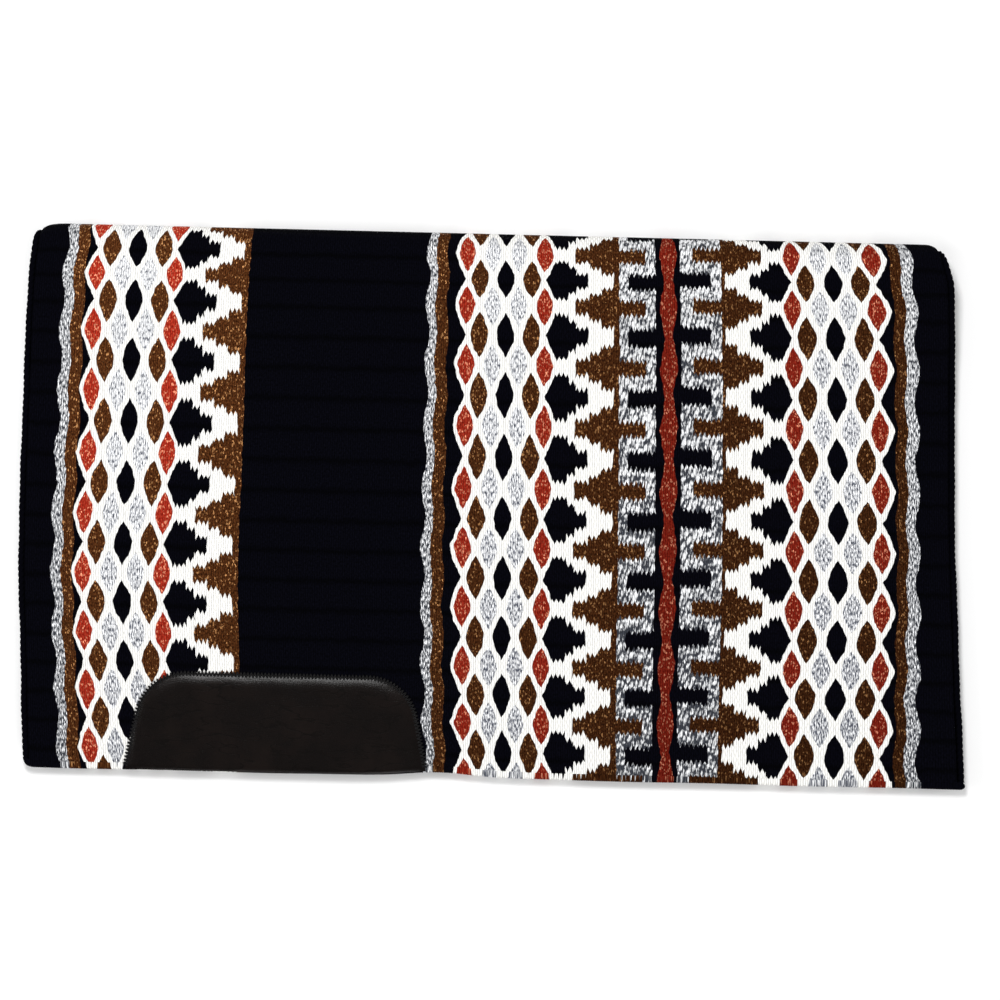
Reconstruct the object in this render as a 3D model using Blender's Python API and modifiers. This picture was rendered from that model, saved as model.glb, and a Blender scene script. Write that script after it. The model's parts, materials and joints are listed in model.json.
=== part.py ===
# A woven wool saddle pad, folded in half over its spine and lying on its far side.
# +X runs to the rear of the horse, +Y from the hems to the spine fold, +Z up. The origin is at the
# bottom centre. The near flap opens like a book's cover, over two hinge lines along the spine strip.
import math

import bmesh
import bpy

# Driving dimensions, in metres
PAD_LENGTH = 0.864  # front edge to rear edge
FOLDED_DEPTH = 0.500  # spine to hem, as folded
CLOTH = 0.008  # thickness of the weaving
FOLD_HEIGHT = 0.034  # height of the soft fold at the spine
SETTLE_LENGTH = 0.160  # the near flap comes down onto the far one over this length
SETTLE_STEPS = 16
GAP = 0.0003  # between neighbouring pieces
CORD_RADIUS = 0.0032  # edge and hem cords

LEATHER_WIDTH = 0.281  # at the hem
LEATHER_HEIGHT = 0.0865
LEATHER_X = -0.1895  # its middle, ahead of the pad's middle
LEATHER_LEAN = math.radians(11.3)  # its sides lean in from the hem
LEATHER_CORNER = 0.048  # corner radius
CORNER_STEPS = 10
LEATHER = 0.0020  # thickness
BAND_WIDTH = 0.0060  # needle thread over the leather's edge
BAND = 0.0008
BOBBIN_WIDTH = 0.0016  # thread line on the horse side
BOBBIN = 0.0010
BOBBIN_END = 0.002  # from the cloth's hem edge
CLEAR = 0.001  # how far a cutter stands past the face that it cuts

HEM_Y = -FOLDED_DEPTH / 2
CLOTH_HEM_Y = HEM_Y + 2 * CORD_RADIUS + GAP
HINGE_Y = FOLDED_DEPTH / 2 - CLOTH / 2
FLAP_END_Y = HINGE_Y - CLOTH / 2 - GAP
FAR_HINGE_Z = CLOTH / 2
NEAR_HINGE_Z = FOLD_HEIGHT - CLOTH / 2
NEAR_REST_Z = CLOTH + GAP + CLOTH / 2  # middle of the near cloth where it lies on the far one
CLOTH_HALF_X = PAD_LENGTH / 2 - 2 * CORD_RADIUS - GAP
EDGE_X = PAD_LENGTH / 2 - CORD_RADIUS

# Each flap's outer face, and the way from it into the cloth
SIDES = {
    "near": {"outer": NEAR_REST_Z + CLOTH / 2, "inward": -1},
    "far": {"outer": 0.0, "inward": 1},
}

for old in list(bpy.data.objects):
    bpy.data.objects.remove(old)


def new_collection(name):
    collection = bpy.data.collections.new(name)
    bpy.context.scene.collection.children.link(collection)
    return collection


PAD = new_collection("saddle_pad")
CUTTERS = new_collection("cutters")


def principled(name, color, roughness):
    material = bpy.data.materials.new(name)
    material.use_nodes = True
    shader = material.node_tree.nodes["Principled BSDF"]
    shader.inputs["Base Color"].default_value = (*color, 1)
    shader.inputs["Roughness"].default_value = roughness
    shader.inputs["Metallic"].default_value = 0.0
    return material


def add_object(name, data, collection=PAD, finish=None):
    piece = bpy.data.objects.new(name, data)
    collection.objects.link(piece)
    if finish:
        data.materials.append(principled(name, *finish))
    if collection is CUTTERS:
        piece.hide_render = True
        piece.display_type = "WIRE"
    return piece


WOOL = ((0.012, 0.012, 0.018), 0.95)
CORD = ((0.010, 0.010, 0.014), 0.9)
HIDE = ((0.020, 0.014, 0.011), 0.5)
THREAD = ((0.006, 0.006, 0.006), 0.6)


def depth_to_z(side, depth):
    """Height of the plane that lies depth inside a flap's outer face."""
    return SIDES[side]["outer"] + SIDES[side]["inward"] * depth


def settle_height(y):
    """Middle of the near cloth: high at the fold, then down onto the far flap."""
    along = min(1.0, (FLAP_END_Y - y) / SETTLE_LENGTH)
    rise = NEAR_HINGE_Z - NEAR_REST_Z
    return NEAR_REST_Z + rise * (1 + math.cos(math.pi * along)) / 2


def flap_route(side):
    """Points (y, z) along the middle of a flap's cloth, from the spine to the hem."""
    if side == "far":
        return [(FLAP_END_Y, FAR_HINGE_Z), (CLOTH_HEM_Y, FAR_HINGE_Z)]
    steps = [FLAP_END_Y - SETTLE_LENGTH * i / SETTLE_STEPS for i in range(SETTLE_STEPS + 1)]
    return [(y, settle_height(y)) for y in steps + [CLOTH_HEM_Y]]


def leather_arch(inset, reach=0.0):
    """The patch's sides and top, moved in by inset, from one foot at the hem to the other."""
    middle_y = LEATHER_HEIGHT - LEATHER_CORNER
    lean = math.tan(LEATHER_LEAN)
    middle_x = LEATHER_WIDTH / 2 - middle_y * lean - LEATHER_CORNER / math.cos(LEATHER_LEAN)
    radius = LEATHER_CORNER - inset
    foot_x = LEATHER_WIDTH / 2 - inset / math.cos(LEATHER_LEAN) + reach * lean
    half = [(foot_x, -reach)]
    for i in range(CORNER_STEPS + 1):
        turn = LEATHER_LEAN + (math.pi / 2 - LEATHER_LEAN) * i / CORNER_STEPS
        half.append((middle_x + radius * math.cos(turn), middle_y + radius * math.sin(turn)))
    other_half = [(-x, y) for x, y in reversed(half)]
    return [(LEATHER_X + x, CLOTH_HEM_Y + y) for x, y in half + other_half]


def leather_strip(outer_inset, inner_inset, reach=0.0):
    """A strip of even width that follows the patch's sides and top."""
    return leather_arch(outer_inset, reach) + leather_arch(inner_inset, reach)[::-1]


def flat_solid(name, outline, z_range, collection=PAD, finish=None):
    """A flat outline made as thick as z_range, as a welded mesh."""
    low, high = sorted(z_range)
    curve = bpy.data.curves.new(name + "_outline", "CURVE")
    curve.dimensions = "2D"
    curve.fill_mode = "BOTH"
    curve.extrude = (high - low) / 2
    spline = curve.splines.new("POLY")
    spline.points.add(len(outline) - 1)
    for point, (x, y) in zip(spline.points, outline):
        point.co = (x, y, 0, 1)
    spline.use_cyclic_u = True
    guide = bpy.data.objects.new(name + "_outline", curve)
    CUTTERS.objects.link(guide)
    evaluated = guide.evaluated_get(bpy.context.evaluated_depsgraph_get())
    mesh = bpy.data.meshes.new_from_object(evaluated)
    mesh.name = name
    bpy.data.objects.remove(guide)
    form = bmesh.new()
    form.from_mesh(mesh)
    bmesh.ops.remove_doubles(form, verts=form.verts, dist=0.00001)
    bmesh.ops.translate(form, verts=form.verts, vec=(0, 0, (low + high) / 2))
    bmesh.ops.recalc_face_normals(form, faces=form.faces)
    form.to_mesh(mesh)
    form.free()
    return add_object(name, mesh, collection, finish)


def cut(piece, name, outline, z_range):
    """Takes a flat pocket or groove out of a piece."""
    cutter = flat_solid(name, outline, z_range, CUTTERS)
    boolean = piece.modifiers.new(name, "BOOLEAN")
    boolean.operation = "DIFFERENCE"
    boolean.object = cutter


def flap_cloth(side):
    """One side of the weaving: a strip across the pad, given its thickness."""
    form = bmesh.new()
    row = [form.verts.new((-CLOTH_HALF_X, y, z)) for y, z in flap_route(side)]
    edges = [form.edges.new(pair) for pair in zip(row, row[1:])]
    swept = bmesh.ops.extrude_edge_only(form, edges=edges)["geom"]
    moved = [v for v in swept if isinstance(v, bmesh.types.BMVert)]
    bmesh.ops.translate(form, verts=moved, vec=(2 * CLOTH_HALF_X, 0, 0))
    name = side + "_flap_cloth"
    mesh = bpy.data.meshes.new(name)
    form.to_mesh(mesh)
    form.free()
    cloth = add_object(name, mesh, finish=WOOL)
    wall = cloth.modifiers.new("thickness", "SOLIDIFY")
    wall.thickness = CLOTH
    wall.offset = 0
    wall.use_even_offset = True
    pocket = (depth_to_z(side, -CLEAR), depth_to_z(side, LEATHER + GAP))
    cut(cloth, side + "_leather_pocket", leather_arch(0, reach=CLEAR), pocket)
    groove = (depth_to_z(side, CLOTH + CLEAR), depth_to_z(side, CLOTH - BOBBIN - GAP))
    cut(cloth, side + "_thread_groove", bobbin_outline(GAP), groove)
    return cloth


def bobbin_outline(grown=0.0):
    """The horse side thread line, under the middle of the edge stitching."""
    middle = GAP + BAND_WIDTH / 2
    half = BOBBIN_WIDTH / 2 + grown
    return leather_strip(middle - half, middle + half, reach=grown - BOBBIN_END)


def wear_leather(side):
    """The patch, with a shallow rebate round its rim for the stitching to sink into."""
    name = side + "_wear_leather"
    faces = (depth_to_z(side, 0), depth_to_z(side, LEATHER))
    leather = flat_solid(name, leather_arch(GAP), faces, finish=HIDE)
    rebate = leather_strip(-CLEAR, GAP + BAND_WIDTH + GAP, reach=CLEAR)
    depths = (depth_to_z(side, -CLEAR), depth_to_z(side, BAND + GAP))
    cut(leather, side + "_stitch_rebate", rebate, depths)
    return leather


def edge_stitching(side):
    name = side + "_leather_edge_stitching"
    faces = (depth_to_z(side, 0), depth_to_z(side, BAND))
    return flat_solid(name, leather_strip(GAP, GAP + BAND_WIDTH), faces, finish=THREAD)


def bobbin_thread(side):
    name = side + "_bobbin_thread"
    faces = (depth_to_z(side, CLOTH), depth_to_z(side, CLOTH - BOBBIN))
    return flat_solid(name, bobbin_outline(), faces, finish=THREAD)


def cord(name, route):
    """A round cord along a list of points."""
    curve = bpy.data.curves.new(name, "CURVE")
    curve.dimensions = "3D"
    curve.bevel_depth = CORD_RADIUS
    curve.bevel_resolution = 2
    curve.use_fill_caps = True
    spline = curve.splines.new("POLY")
    spline.points.add(len(route) - 1)
    for point, place in zip(spline.points, route):
        point.co = (*place, 1)
    return add_object(name, curve, finish=CORD)


def hem_cord(side):
    z = flap_route(side)[-1][1]
    y = HEM_Y + CORD_RADIUS
    return cord(side + "_hem_cord", [(-PAD_LENGTH / 2, y, z), (PAD_LENGTH / 2, y, z)])


def edge_cords(place, route):
    """The front and rear edge cords of one body, along its (y, z) route."""
    return [
        cord(f"{place}_{end}_edge_cord", [(x, y, z) for y, z in route])
        for end, x in (("front", -EDGE_X), ("rear", EDGE_X))
    ]


def spine_cloth():
    """The upright strip at the fold. Its long edges are round about the two hinge lines."""
    form = bmesh.new()
    bmesh.ops.create_cube(form, size=1)
    bmesh.ops.scale(form, verts=form.verts, vec=(2 * CLOTH_HALF_X, CLOTH, FOLD_HEIGHT))
    bmesh.ops.translate(form, verts=form.verts, vec=(0, HINGE_Y, FOLD_HEIGHT / 2))
    mesh = bpy.data.meshes.new("spine_cloth")
    form.to_mesh(mesh)
    form.free()
    piece = add_object("spine_cloth", mesh, finish=WOOL)
    weight = mesh.attributes.new("bevel_weight_edge", "FLOAT", "EDGE")
    for edge in mesh.edges:
        first, last = (mesh.vertices[i].co for i in edge.vertices)
        weight.data[edge.index].value = float(abs(first.x - last.x) > CLOTH_HALF_X)
    rounding = piece.modifiers.new("round_edges", "BEVEL")
    rounding.limit_method = "WEIGHT"
    rounding.width = CLOTH / 2 - 0.00002
    rounding.segments = 6
    return piece


def spine_cords():
    """They stop short of the hinge lines' round ends, so that the flaps' cords turn past them."""
    past_hinge = math.sqrt((CLOTH / 2) ** 2 - CORD_RADIUS**2)
    ends = (FAR_HINGE_Z - past_hinge, NEAR_HINGE_Z + past_hinge)
    return edge_cords("spine", [(HINGE_Y, z) for z in ends])


def hinge_line(name, z, parent=None):
    """An empty on a hinge's axis, which carries the pieces that turn about it."""
    empty = bpy.data.objects.new(name, None)
    empty.empty_display_size = 0.05
    PAD.objects.link(empty)
    empty.location = (0, HINGE_Y, z)
    bpy.context.view_layer.update()
    if parent:
        hang_on(empty, parent)
    return empty


def hang_on(piece, parent):
    """Parents a piece without moving it."""
    piece.parent = parent
    piece.matrix_parent_inverse = parent.matrix_world.inverted()
    bpy.context.view_layer.update()


def flap_pieces(side):
    pieces = [flap_cloth(side), wear_leather(side), edge_stitching(side), bobbin_thread(side)]
    return pieces + [hem_cord(side)] + edge_cords(side, flap_route(side))


far_hinge = hinge_line("far_hinge_line", FAR_HINGE_Z)
near_hinge = hinge_line("near_hinge_line", NEAR_HINGE_Z, far_hinge)
flap_pieces("far")
for piece in [spine_cloth()] + spine_cords():
    hang_on(piece, far_hinge)
for piece in flap_pieces("near"):
    hang_on(piece, near_hinge)
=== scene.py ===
import json
import math

import bmesh
import bpy
import numpy as np
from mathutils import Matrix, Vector


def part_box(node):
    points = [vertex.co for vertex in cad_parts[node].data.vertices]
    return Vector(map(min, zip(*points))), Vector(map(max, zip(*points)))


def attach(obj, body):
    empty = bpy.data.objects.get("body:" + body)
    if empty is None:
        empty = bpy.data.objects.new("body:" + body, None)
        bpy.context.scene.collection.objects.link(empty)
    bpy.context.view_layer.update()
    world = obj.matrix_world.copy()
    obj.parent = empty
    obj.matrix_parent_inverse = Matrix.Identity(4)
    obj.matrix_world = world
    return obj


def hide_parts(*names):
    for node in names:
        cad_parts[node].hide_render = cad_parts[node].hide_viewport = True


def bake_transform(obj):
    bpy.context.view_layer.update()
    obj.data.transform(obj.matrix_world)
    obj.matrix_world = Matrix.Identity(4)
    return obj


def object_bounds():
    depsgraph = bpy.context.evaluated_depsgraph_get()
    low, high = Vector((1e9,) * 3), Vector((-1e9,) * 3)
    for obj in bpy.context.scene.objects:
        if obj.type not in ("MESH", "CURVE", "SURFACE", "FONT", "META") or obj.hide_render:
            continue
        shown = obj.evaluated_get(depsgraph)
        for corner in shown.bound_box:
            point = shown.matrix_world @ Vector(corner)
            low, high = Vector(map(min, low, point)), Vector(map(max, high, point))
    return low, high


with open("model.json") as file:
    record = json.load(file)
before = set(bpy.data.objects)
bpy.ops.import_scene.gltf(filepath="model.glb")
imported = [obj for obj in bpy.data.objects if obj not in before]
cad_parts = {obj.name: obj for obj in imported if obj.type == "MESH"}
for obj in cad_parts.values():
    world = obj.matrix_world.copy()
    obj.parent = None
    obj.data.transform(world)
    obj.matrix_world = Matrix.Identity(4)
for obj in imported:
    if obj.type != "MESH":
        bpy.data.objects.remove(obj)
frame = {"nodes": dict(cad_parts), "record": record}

print("frame loaded:", len(frame["nodes"]), "nodes")
cadBounds = [list(corner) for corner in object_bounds()]
record = frame["record"]
hinges = {joint["name"]: joint["pos_m"] for joint in record["behaviour"]["joints"]}
farCloth = [np.array(corner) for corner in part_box("far_flap_cloth")]
nearCloth = [np.array(corner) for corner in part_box("near_flap_cloth")]
leatherBox = [np.array(corner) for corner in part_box("near_wear_leather")]
padLow, padHigh = (np.array(corner) for corner in cadBounds)

mm = 0.001
clothHalf = (farCloth[1][2] - farCloth[0][2]) / 2
farHingeZ, nearHingeZ = hinges["far_fold"][2], hinges["near_fold"][2]
hingeY = hinges["far_fold"][1]
foldMiddle = (farHingeZ + nearHingeZ) / 2
foldRadius = (nearHingeZ - farHingeZ) / 2
hemY = nearCloth[0][1]
restZ = leatherBox[1][2] - clothHalf  # middle of the near cloth where it lies flat
halfX = nearCloth[1][0]
edgeX = (halfX + padHigh[0]) / 2
cordRadius = (padHigh[0] - halfX) / 2 - 0.15 * mm

drape = {
    "settle": 160 * mm,  # the near flap comes down over this length
    "step": 0.5 * mm,
    "topPinch": 0.026,  # the fold draws the cloth in, as a share of x
    "topReach": 0.13,
    "footPull": 10 * mm,  # the front of the hem creeps rearwards
    "flare": 13 * mm,  # the rear edge spreads at its foot
    "cornerX": {"front": 26 * mm, "rear": 16 * mm},  # rounding of the fold's two ends
    "cornerY": 11 * mm,
    "drawIn": 7 * mm,  # the rear end of the fold is drawn in as well
    "drawStart": 340 * mm,
    "drawRun": 90 * mm,
    "drawReach": 0.075,  # as a share of the way to the hem
    "toe": 11 * mm,  # rounding of the front foot
    "tuck": 4.5 * mm,  # the hem rises where the leather ends
    "lift": 1.1 * mm,  # how far the near flap's undulations stand off
}

strays = {  # how hand-laid cloth wanders along the fold: mm sideways, by x in mm and share to the hem
    "x": (-432, -365, -290, 15, 215, 283, 355, 432),
    "share": (0.03, 0.13, 0.25, 0.35, 0.45, 0.55, 0.65, 0.75, 0.85, 0.93, 1.0),
    "slip": (
        (1.6, 1.6, 1.4, 1.0, 0.8, 0.8, 1.5, 2.8, 2.8, 1.1, 0.0),
        (0.7, 0.7, -0.1, 0.1, -1.4, -3.1, -3.6, -2.2, -0.8, -0.9, -0.5),
        (0.9, 0.3, -0.4, -0.5, -1.0, -2.5, -3.2, -1.7, -0.8, -0.8, -0.5),
        (-3.9, -3.4, -2.7, -2.5, -2.1, -1.7, -0.8, -0.5, -0.1, 0.3, 0.9),
        (-5.0, -4.9, -3.0, -2.1, -0.9, -0.1, 0.6, 0.3, 0.0, 0.3, 0.4),
        (-6.8, -7.1, -4.8, -3.7, -2.3, -1.3, -0.7, -1.2, -1.7, -1.4, -1.5),
        (-11.5, -7.7, -4.9, -3.2, -1.2, 0.8, 2.3, 2.0, 2.0, 2.5, 2.2),
        (-4.6, -4.6, -4.6, -3.7, -3.2, -2.8, -1.8, -0.9, -0.9, 0.0, 0.0),
    ),
}


# where the cloth runs

def settleHeight(y):
    along = np.clip((hingeY - clothHalf - 0.3 * mm - y) / drape["settle"], 0, 1)
    return restZ + (nearHingeZ - restZ) * (1 + np.cos(np.pi * along)) / 2


def clothPath(side):
    # mid line of the cloth from the middle of the spine, round the fold and down to the hem
    turn = np.linspace(0, np.pi / 2, 60)
    sign = 1 if side == "near" else -1
    arcY = hingeY - foldRadius + foldRadius * np.cos(turn)
    arcZ = foldMiddle + sign * foldRadius * np.sin(turn)
    flatY = np.arange(arcY[-1] - drape["step"], hemY, -drape["step"])
    flatY = np.append(flatY, hemY)
    flatZ = settleHeight(flatY) if side == "near" else np.full(len(flatY), farHingeZ)
    y, z = np.append(arcY, flatY), np.append(arcZ, flatZ)
    along = np.append(0, np.cumsum(np.hypot(np.diff(y), np.diff(z))))
    even = np.linspace(0, along[-1], 1000)
    y, z = np.interp(even, along, y), np.interp(even, along, z)
    kernel = np.hanning(15) / np.hanning(15).sum()
    z[8:-8] = np.convolve(z, kernel, "same")[8:-8]
    ty, tz = np.gradient(y, even), np.gradient(z, even)
    size = np.hypot(ty, tz)
    ny, nz = sign * tz / size, -sign * ty / size
    turned = np.arccos(np.clip(ny, -1, 1))
    turned = np.maximum.accumulate(np.minimum(turned, np.pi / 2))
    return {"s": even, "y": y, "z": z, "ny": ny, "nz": nz, "v": even + clothHalf * turned}


paths = {side: clothPath(side) for side in ("near", "far")}
runLength = {side: path["s"][-1] for side, path in paths.items()}


def strayed(x, f):
    slips = np.stack([np.interp(f, strays["share"], row) for row in strays["slip"]])
    at = np.interp(x / mm, strays["x"], np.arange(len(strays["x"])))
    low = np.clip(at.astype(int), 0, len(strays["x"]) - 2)
    before = np.take_along_axis(slips, low[None], 0)[0]
    after = np.take_along_axis(slips, low[None] + 1, 0)[0]
    return mm * (before + (after - before) * (at - low))


def drift(x, f):
    # how the lying cloth strays from square: (dx, dy) at x and the share f from spine to hem
    pinch = -drape["topPinch"] * x * np.exp(-f / drape["topReach"])
    foot = np.clip((f - 0.6) / 0.4, 0, 1) ** 2
    pull = drape["footPull"] * foot * np.clip((0.25 - x) / 0.65, 0, 1)
    rear = np.clip((x - 0.385) / 0.047, 0, 1.2)
    spread = drape["flare"] * rear * np.clip((f - 0.45) / 0.55, 0, 1) ** 1.5
    drawn = np.clip((x - drape["drawStart"]) / drape["drawRun"], 0, 1) ** 2
    drawIn = -drape["drawIn"] * drawn * np.clip(1 - f / drape["drawReach"], 0, 1)
    cornerX = np.where(x < 0, drape["cornerX"]["front"], drape["cornerX"]["rear"])
    corner = np.clip((np.abs(x) - (padHigh[0] - cornerX)) / cornerX, 0, 1)
    round_ = -drape["cornerY"] * (1 - np.sqrt(1 - 0.98 * corner**2))
    dy = round_ * np.clip(1 - f / 0.12, 0, 1)
    dy = dy + drape["tuck"] * np.exp(-(((x + 0.045) / 0.04) ** 2)) * np.clip((f - 0.9) / 0.1, 0, 1)
    toe = np.clip((-x - (padHigh[0] - drape["toe"])) / drape["toe"], 0, 1)
    dy = dy + 0.7 * drape["toe"] * (1 - np.sqrt(1 - 0.98 * toe**2)) * np.clip((f - 0.95) / 0.05, 0, 1)
    return pinch + pull + spread + drawIn + strayed(x, f), dy


def undulation(x, f):
    # slow rise and fall of the near flap, always upwards, none at the fold
    wave = np.sin(9.1 * x + 4.0 * f + 0.6) + 0.7 * np.sin(15.7 * x - 7.3 * f + 2.1)
    wave = wave + 0.5 * np.sin(6.3 * x + 13.1 * f)
    return drape["lift"] * (wave / 4.4 + 0.5) * np.clip(f / 0.35, 0, 1)


def placeOn(side, x, s, depth, slide=True):
    # points at x, s along the cloth and depth inside its outer face; slide adds the drift in x
    x, s, depth = np.broadcast_arrays(np.asarray(x, float), s, depth)
    path = paths[side]
    at = {key: np.interp(s, path["s"], path[key]) for key in ("y", "z", "ny", "nz")}
    beyond = np.maximum(s - path["s"][-1], 0)  # past the cloth's end, straight on
    out = clothHalf - depth
    f = np.clip(s / path["s"][-1], 0, 1)
    dx, dy = drift(x, f)
    y = at["y"] + at["ny"] * out - beyond + dy
    z = at["z"] + at["nz"] * out
    if side == "near":
        z = z + undulation(x, f)
    return np.stack([x + dx * slide, y, z], axis=-1)


# the weaver beat some rows closer than others: (gain, from, to) in mm over the back
beating = ((9.3, 15, 80), (-6.5, 90, 300), (2.8, 380, 480))


def weaveCoordinates(side, x, s):
    # pattern coordinates in millimetres: x, and the way over the back, minus on the far side
    path = paths[side]
    beyond = np.maximum(s - path["s"][-1], 0)
    v = np.interp(s, path["s"], path["v"]) + beyond
    sign = 1 if side == "near" else -1
    v = v / mm
    for gain, low, high in beating:
        share = np.clip((v - low) / (high - low), 0, 1)
        v = v + gain * share * share * (3 - 2 * share)
    return np.stack([x / mm, sign * v, np.zeros_like(x)], axis=-1)


# meshes from grids of points

def gridFaces(rows, columns, start=0, closedRound=False):
    index = np.arange(rows * columns).reshape(rows, columns) + start
    if closedRound:
        index = np.hstack([index, index[:, :1]])
    a, b = index[:-1, :-1], index[:-1, 1:]
    c, d = index[1:, 1:], index[1:, :-1]
    return np.stack([a, b, c, d], axis=-1).reshape(-1, 4)


def closedSheet(outer, inner):
    # two grids of the same size, joined round their rims
    rows, columns = outer.shape[:2]
    count = rows * columns
    front = gridFaces(rows, columns)
    back = gridFaces(rows, columns, count)[:, ::-1]
    index = np.arange(count).reshape(rows, columns)
    rim = np.concatenate([index[0, :], index[1:, -1], index[-1, -2::-1], index[-2:0:-1, 0]])
    following = np.roll(rim, -1)
    wall = np.stack([rim + count, following + count, following, rim], axis=-1)
    points = np.concatenate([outer.reshape(-1, 3), inner.reshape(-1, 3)])
    return points, np.concatenate([front, back, wall])


def settleFaces(mesh, smoothAngle=None, merge=False):
    # outward normals and smooth shading, with sharp edges beyond an angle in degrees
    form = bmesh.new()
    form.from_mesh(mesh)
    if merge:
        bmesh.ops.remove_doubles(form, verts=form.verts, dist=0.001 * mm)
    bmesh.ops.recalc_face_normals(form, faces=form.faces)
    form.to_mesh(mesh)
    form.free()
    mesh.shade_smooth()
    if smoothAngle:
        mesh.set_sharp_from_angle(angle=math.radians(smoothAngle))


def linked(name, data):
    made = bpy.data.objects.new(name, data)
    bpy.context.scene.collection.objects.link(made)
    return made


def plainMesh(name, points, faces):
    mesh = bpy.data.meshes.new(name)
    mesh.from_pydata(points.tolist(), [], [[int(i) for i in face] for face in faces])
    return mesh


def buildPiece(name, points, faces, material, smoothAngle=None, vectors=None):
    # vectors are the places in the weaving's pattern, one for each point
    mesh = plainMesh(name, points, faces)
    if vectors is not None:
        layer = mesh.attributes.new("weaveAt", "FLOAT_VECTOR", "POINT")
        layer.data.foreach_set("vector", vectors.astype(np.float32).ravel())
    settleFaces(mesh, smoothAngle)
    mesh.materials.append(material)
    return linked(name, mesh)


# shader writing: a Wire is one socket, and sums on it add Math nodes

class Wire:
    def __init__(self, tree, socket):
        self.tree = tree
        self.socket = socket

    def node(self, kind, settings=None, inputs=None, output=0):
        # any node: its settings first, then the values or links of its sockets
        made = self.tree.nodes.new(kind)
        for key, value in (settings or {}).items():
            setattr(made, key, value)
        for key, value in (inputs or {}).items():
            if isinstance(value, Wire):
                self.tree.links.new(value.socket, made.inputs[key])
            else:
                made.inputs[key].default_value = value
        return Wire(self.tree, made.outputs[output])

    def other(self, output):
        # another output of the same node
        return Wire(self.tree, self.socket.node.outputs[output])

    def calc(self, operation, *terms, clamp=False):
        settings = {"operation": operation, "use_clamp": clamp}
        return self.node("ShaderNodeMath", settings, dict(enumerate(terms)))

    def __add__(self, other):
        return self.calc("ADD", self, other)

    def __radd__(self, other):
        return self.calc("ADD", other, self)

    def __sub__(self, other):
        return self.calc("SUBTRACT", self, other)

    def __rsub__(self, other):
        return self.calc("SUBTRACT", other, self)

    def __mul__(self, other):
        return self.calc("MULTIPLY", self, other)

    def __rmul__(self, other):
        return self.calc("MULTIPLY", other, self)

    def __truediv__(self, other):
        return self.calc("DIVIDE", self, other)

    def __pow__(self, other):
        return self.calc("POWER", self, other)

    def __abs__(self):
        return self.calc("ABSOLUTE", self)

    def __and__(self, other):
        return self.calc("MULTIPLY", self, other)

    def __or__(self, other):
        return self.calc("MAXIMUM", self, other)

    def sine(self):
        return self.calc("SINE", self)

    def fraction(self):
        return self.calc("FRACT", self)

    def floor(self):
        return self.calc("FLOOR", self)

    def atLeast(self, other):
        return self.calc("MAXIMUM", self, other)

    def below(self, other, soft=0.35):
        # mask that is 1 where this is below other, with a soft edge
        ramp = (other - self) / soft
        return ramp.calc("ADD", ramp, 0.5, clamp=True)

    def above(self, other, soft=0.35):
        ramp = (self - other) / soft
        return ramp.calc("ADD", ramp, 0.5, clamp=True)

    def between(self, low, high, soft=0.35):
        return self.above(low, soft) & self.below(high, soft)

    def pick(self, off, on):
        # a number that is off where this mask is 0, on where it is 1
        settings = {"data_type": "FLOAT"}
        return self.node("ShaderNodeMix", settings, {0: self, 2: off, 3: on})

    def paint(self, under, over):
        # the same for colours
        settings = {"data_type": "RGBA"}
        return self.node("ShaderNodeMix", settings, {0: self, 6: under, 7: over}, output=2)

    def tint(self, colour, low, high):
        # a colour made darker or lighter by this mask, from low to high times
        level = low + (high - low) * self
        base = colour if isinstance(colour, Wire) else colour[:3]
        return self.node("ShaderNodeVectorMath", {"operation": "SCALE"}, {0: base, "Scale": level})


def tone(red, green, blue):
    # screen colour from 0 to 255, as the shader's linear one
    level = [c / 255 for c in (red, green, blue)]
    line = [c / 12.92 if c <= 0.04045 else ((c + 0.055) / 1.055) ** 2.4 for c in level]
    return (*line, 1.0)


def newMaterial(name):
    # a material, its shader node and a Wire to start expressions from
    material = bpy.data.materials.new(name)
    material.use_nodes = True
    shader = material.node_tree.nodes["Principled BSDF"]
    return material, shader, Wire(material.node_tree, None)


def plug(start, shader, **values):
    # values or links for the shader's sockets, whose names have _ for a space
    for key, value in values.items():
        socket = shader.inputs[key.replace("_", " ")]
        if isinstance(value, Wire):
            start.tree.links.new(value.socket, socket)
        else:
            socket.default_value = value


def bumpFrom(start, height, distance, strength):
    inputs = {"Height": height, "Distance": distance, "Strength": strength}
    return start.node("ShaderNodeBump", None, inputs)


def noise(start, at, scale, detail=2.0, roughness=0.5, output=0):
    inputs = {"Vector": at, "Scale": scale, "Detail": detail, "Roughness": roughness}
    return start.node("ShaderNodeTexNoise", None, inputs, output)


def stretched(start, at, scale):
    return start.node("ShaderNodeMapping", None, {"Vector": at, "Scale": scale})


def rising(start, level, low, high):
    # 0 up to low and 1 from high on
    return start.node("ShaderNodeMapRange", None, {0: level, 1: low, 2: high, 3: 0.0, 4: 1.0})


def toNearest(place, pitch):
    # distance to the nearest of a row of lines
    return abs((place / pitch + 0.5).fraction() - 0.5) * pitch


# the woven pattern

weave = {  # measures are in mm: x from the pad's middle, and the way over the back from the spine
    "pitch": 54.4,  # one row of diamonds
    "firstRow": 30.0,
    "frontShift": 30.5,  # the front band's rows lie between the others'
    "rearShift": 3.6,
    "frontEnd": -142.0,  # middle of the plain field
    "centre": 166.5,  # line that the rear half mirrors about
    "lattice": 72.6,  # first to last red column
    "frontBand": -367.6,
    "middleBand": -21.1,
    "rearBand": 283.0,
    "rearSpread": 0.924,  # its columns lie wider apart, by one over this
    "wander": (3.0, 4.5),  # how far the lines stray, in x and over the back
    "yarn": 2.1,  # one weft yarn
    "warp": 7.8,  # two warp ridges
    "tooth": 4.6,  # the steps that the weft leaves in a slanting edge
    "ragged": 1.6,
    "ribAt": 6.4,  # a sunk line twice a row, seen in the plain fields, drawn only as painted shade on the black wool
    "ribHalf": 2.4,
}

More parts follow.
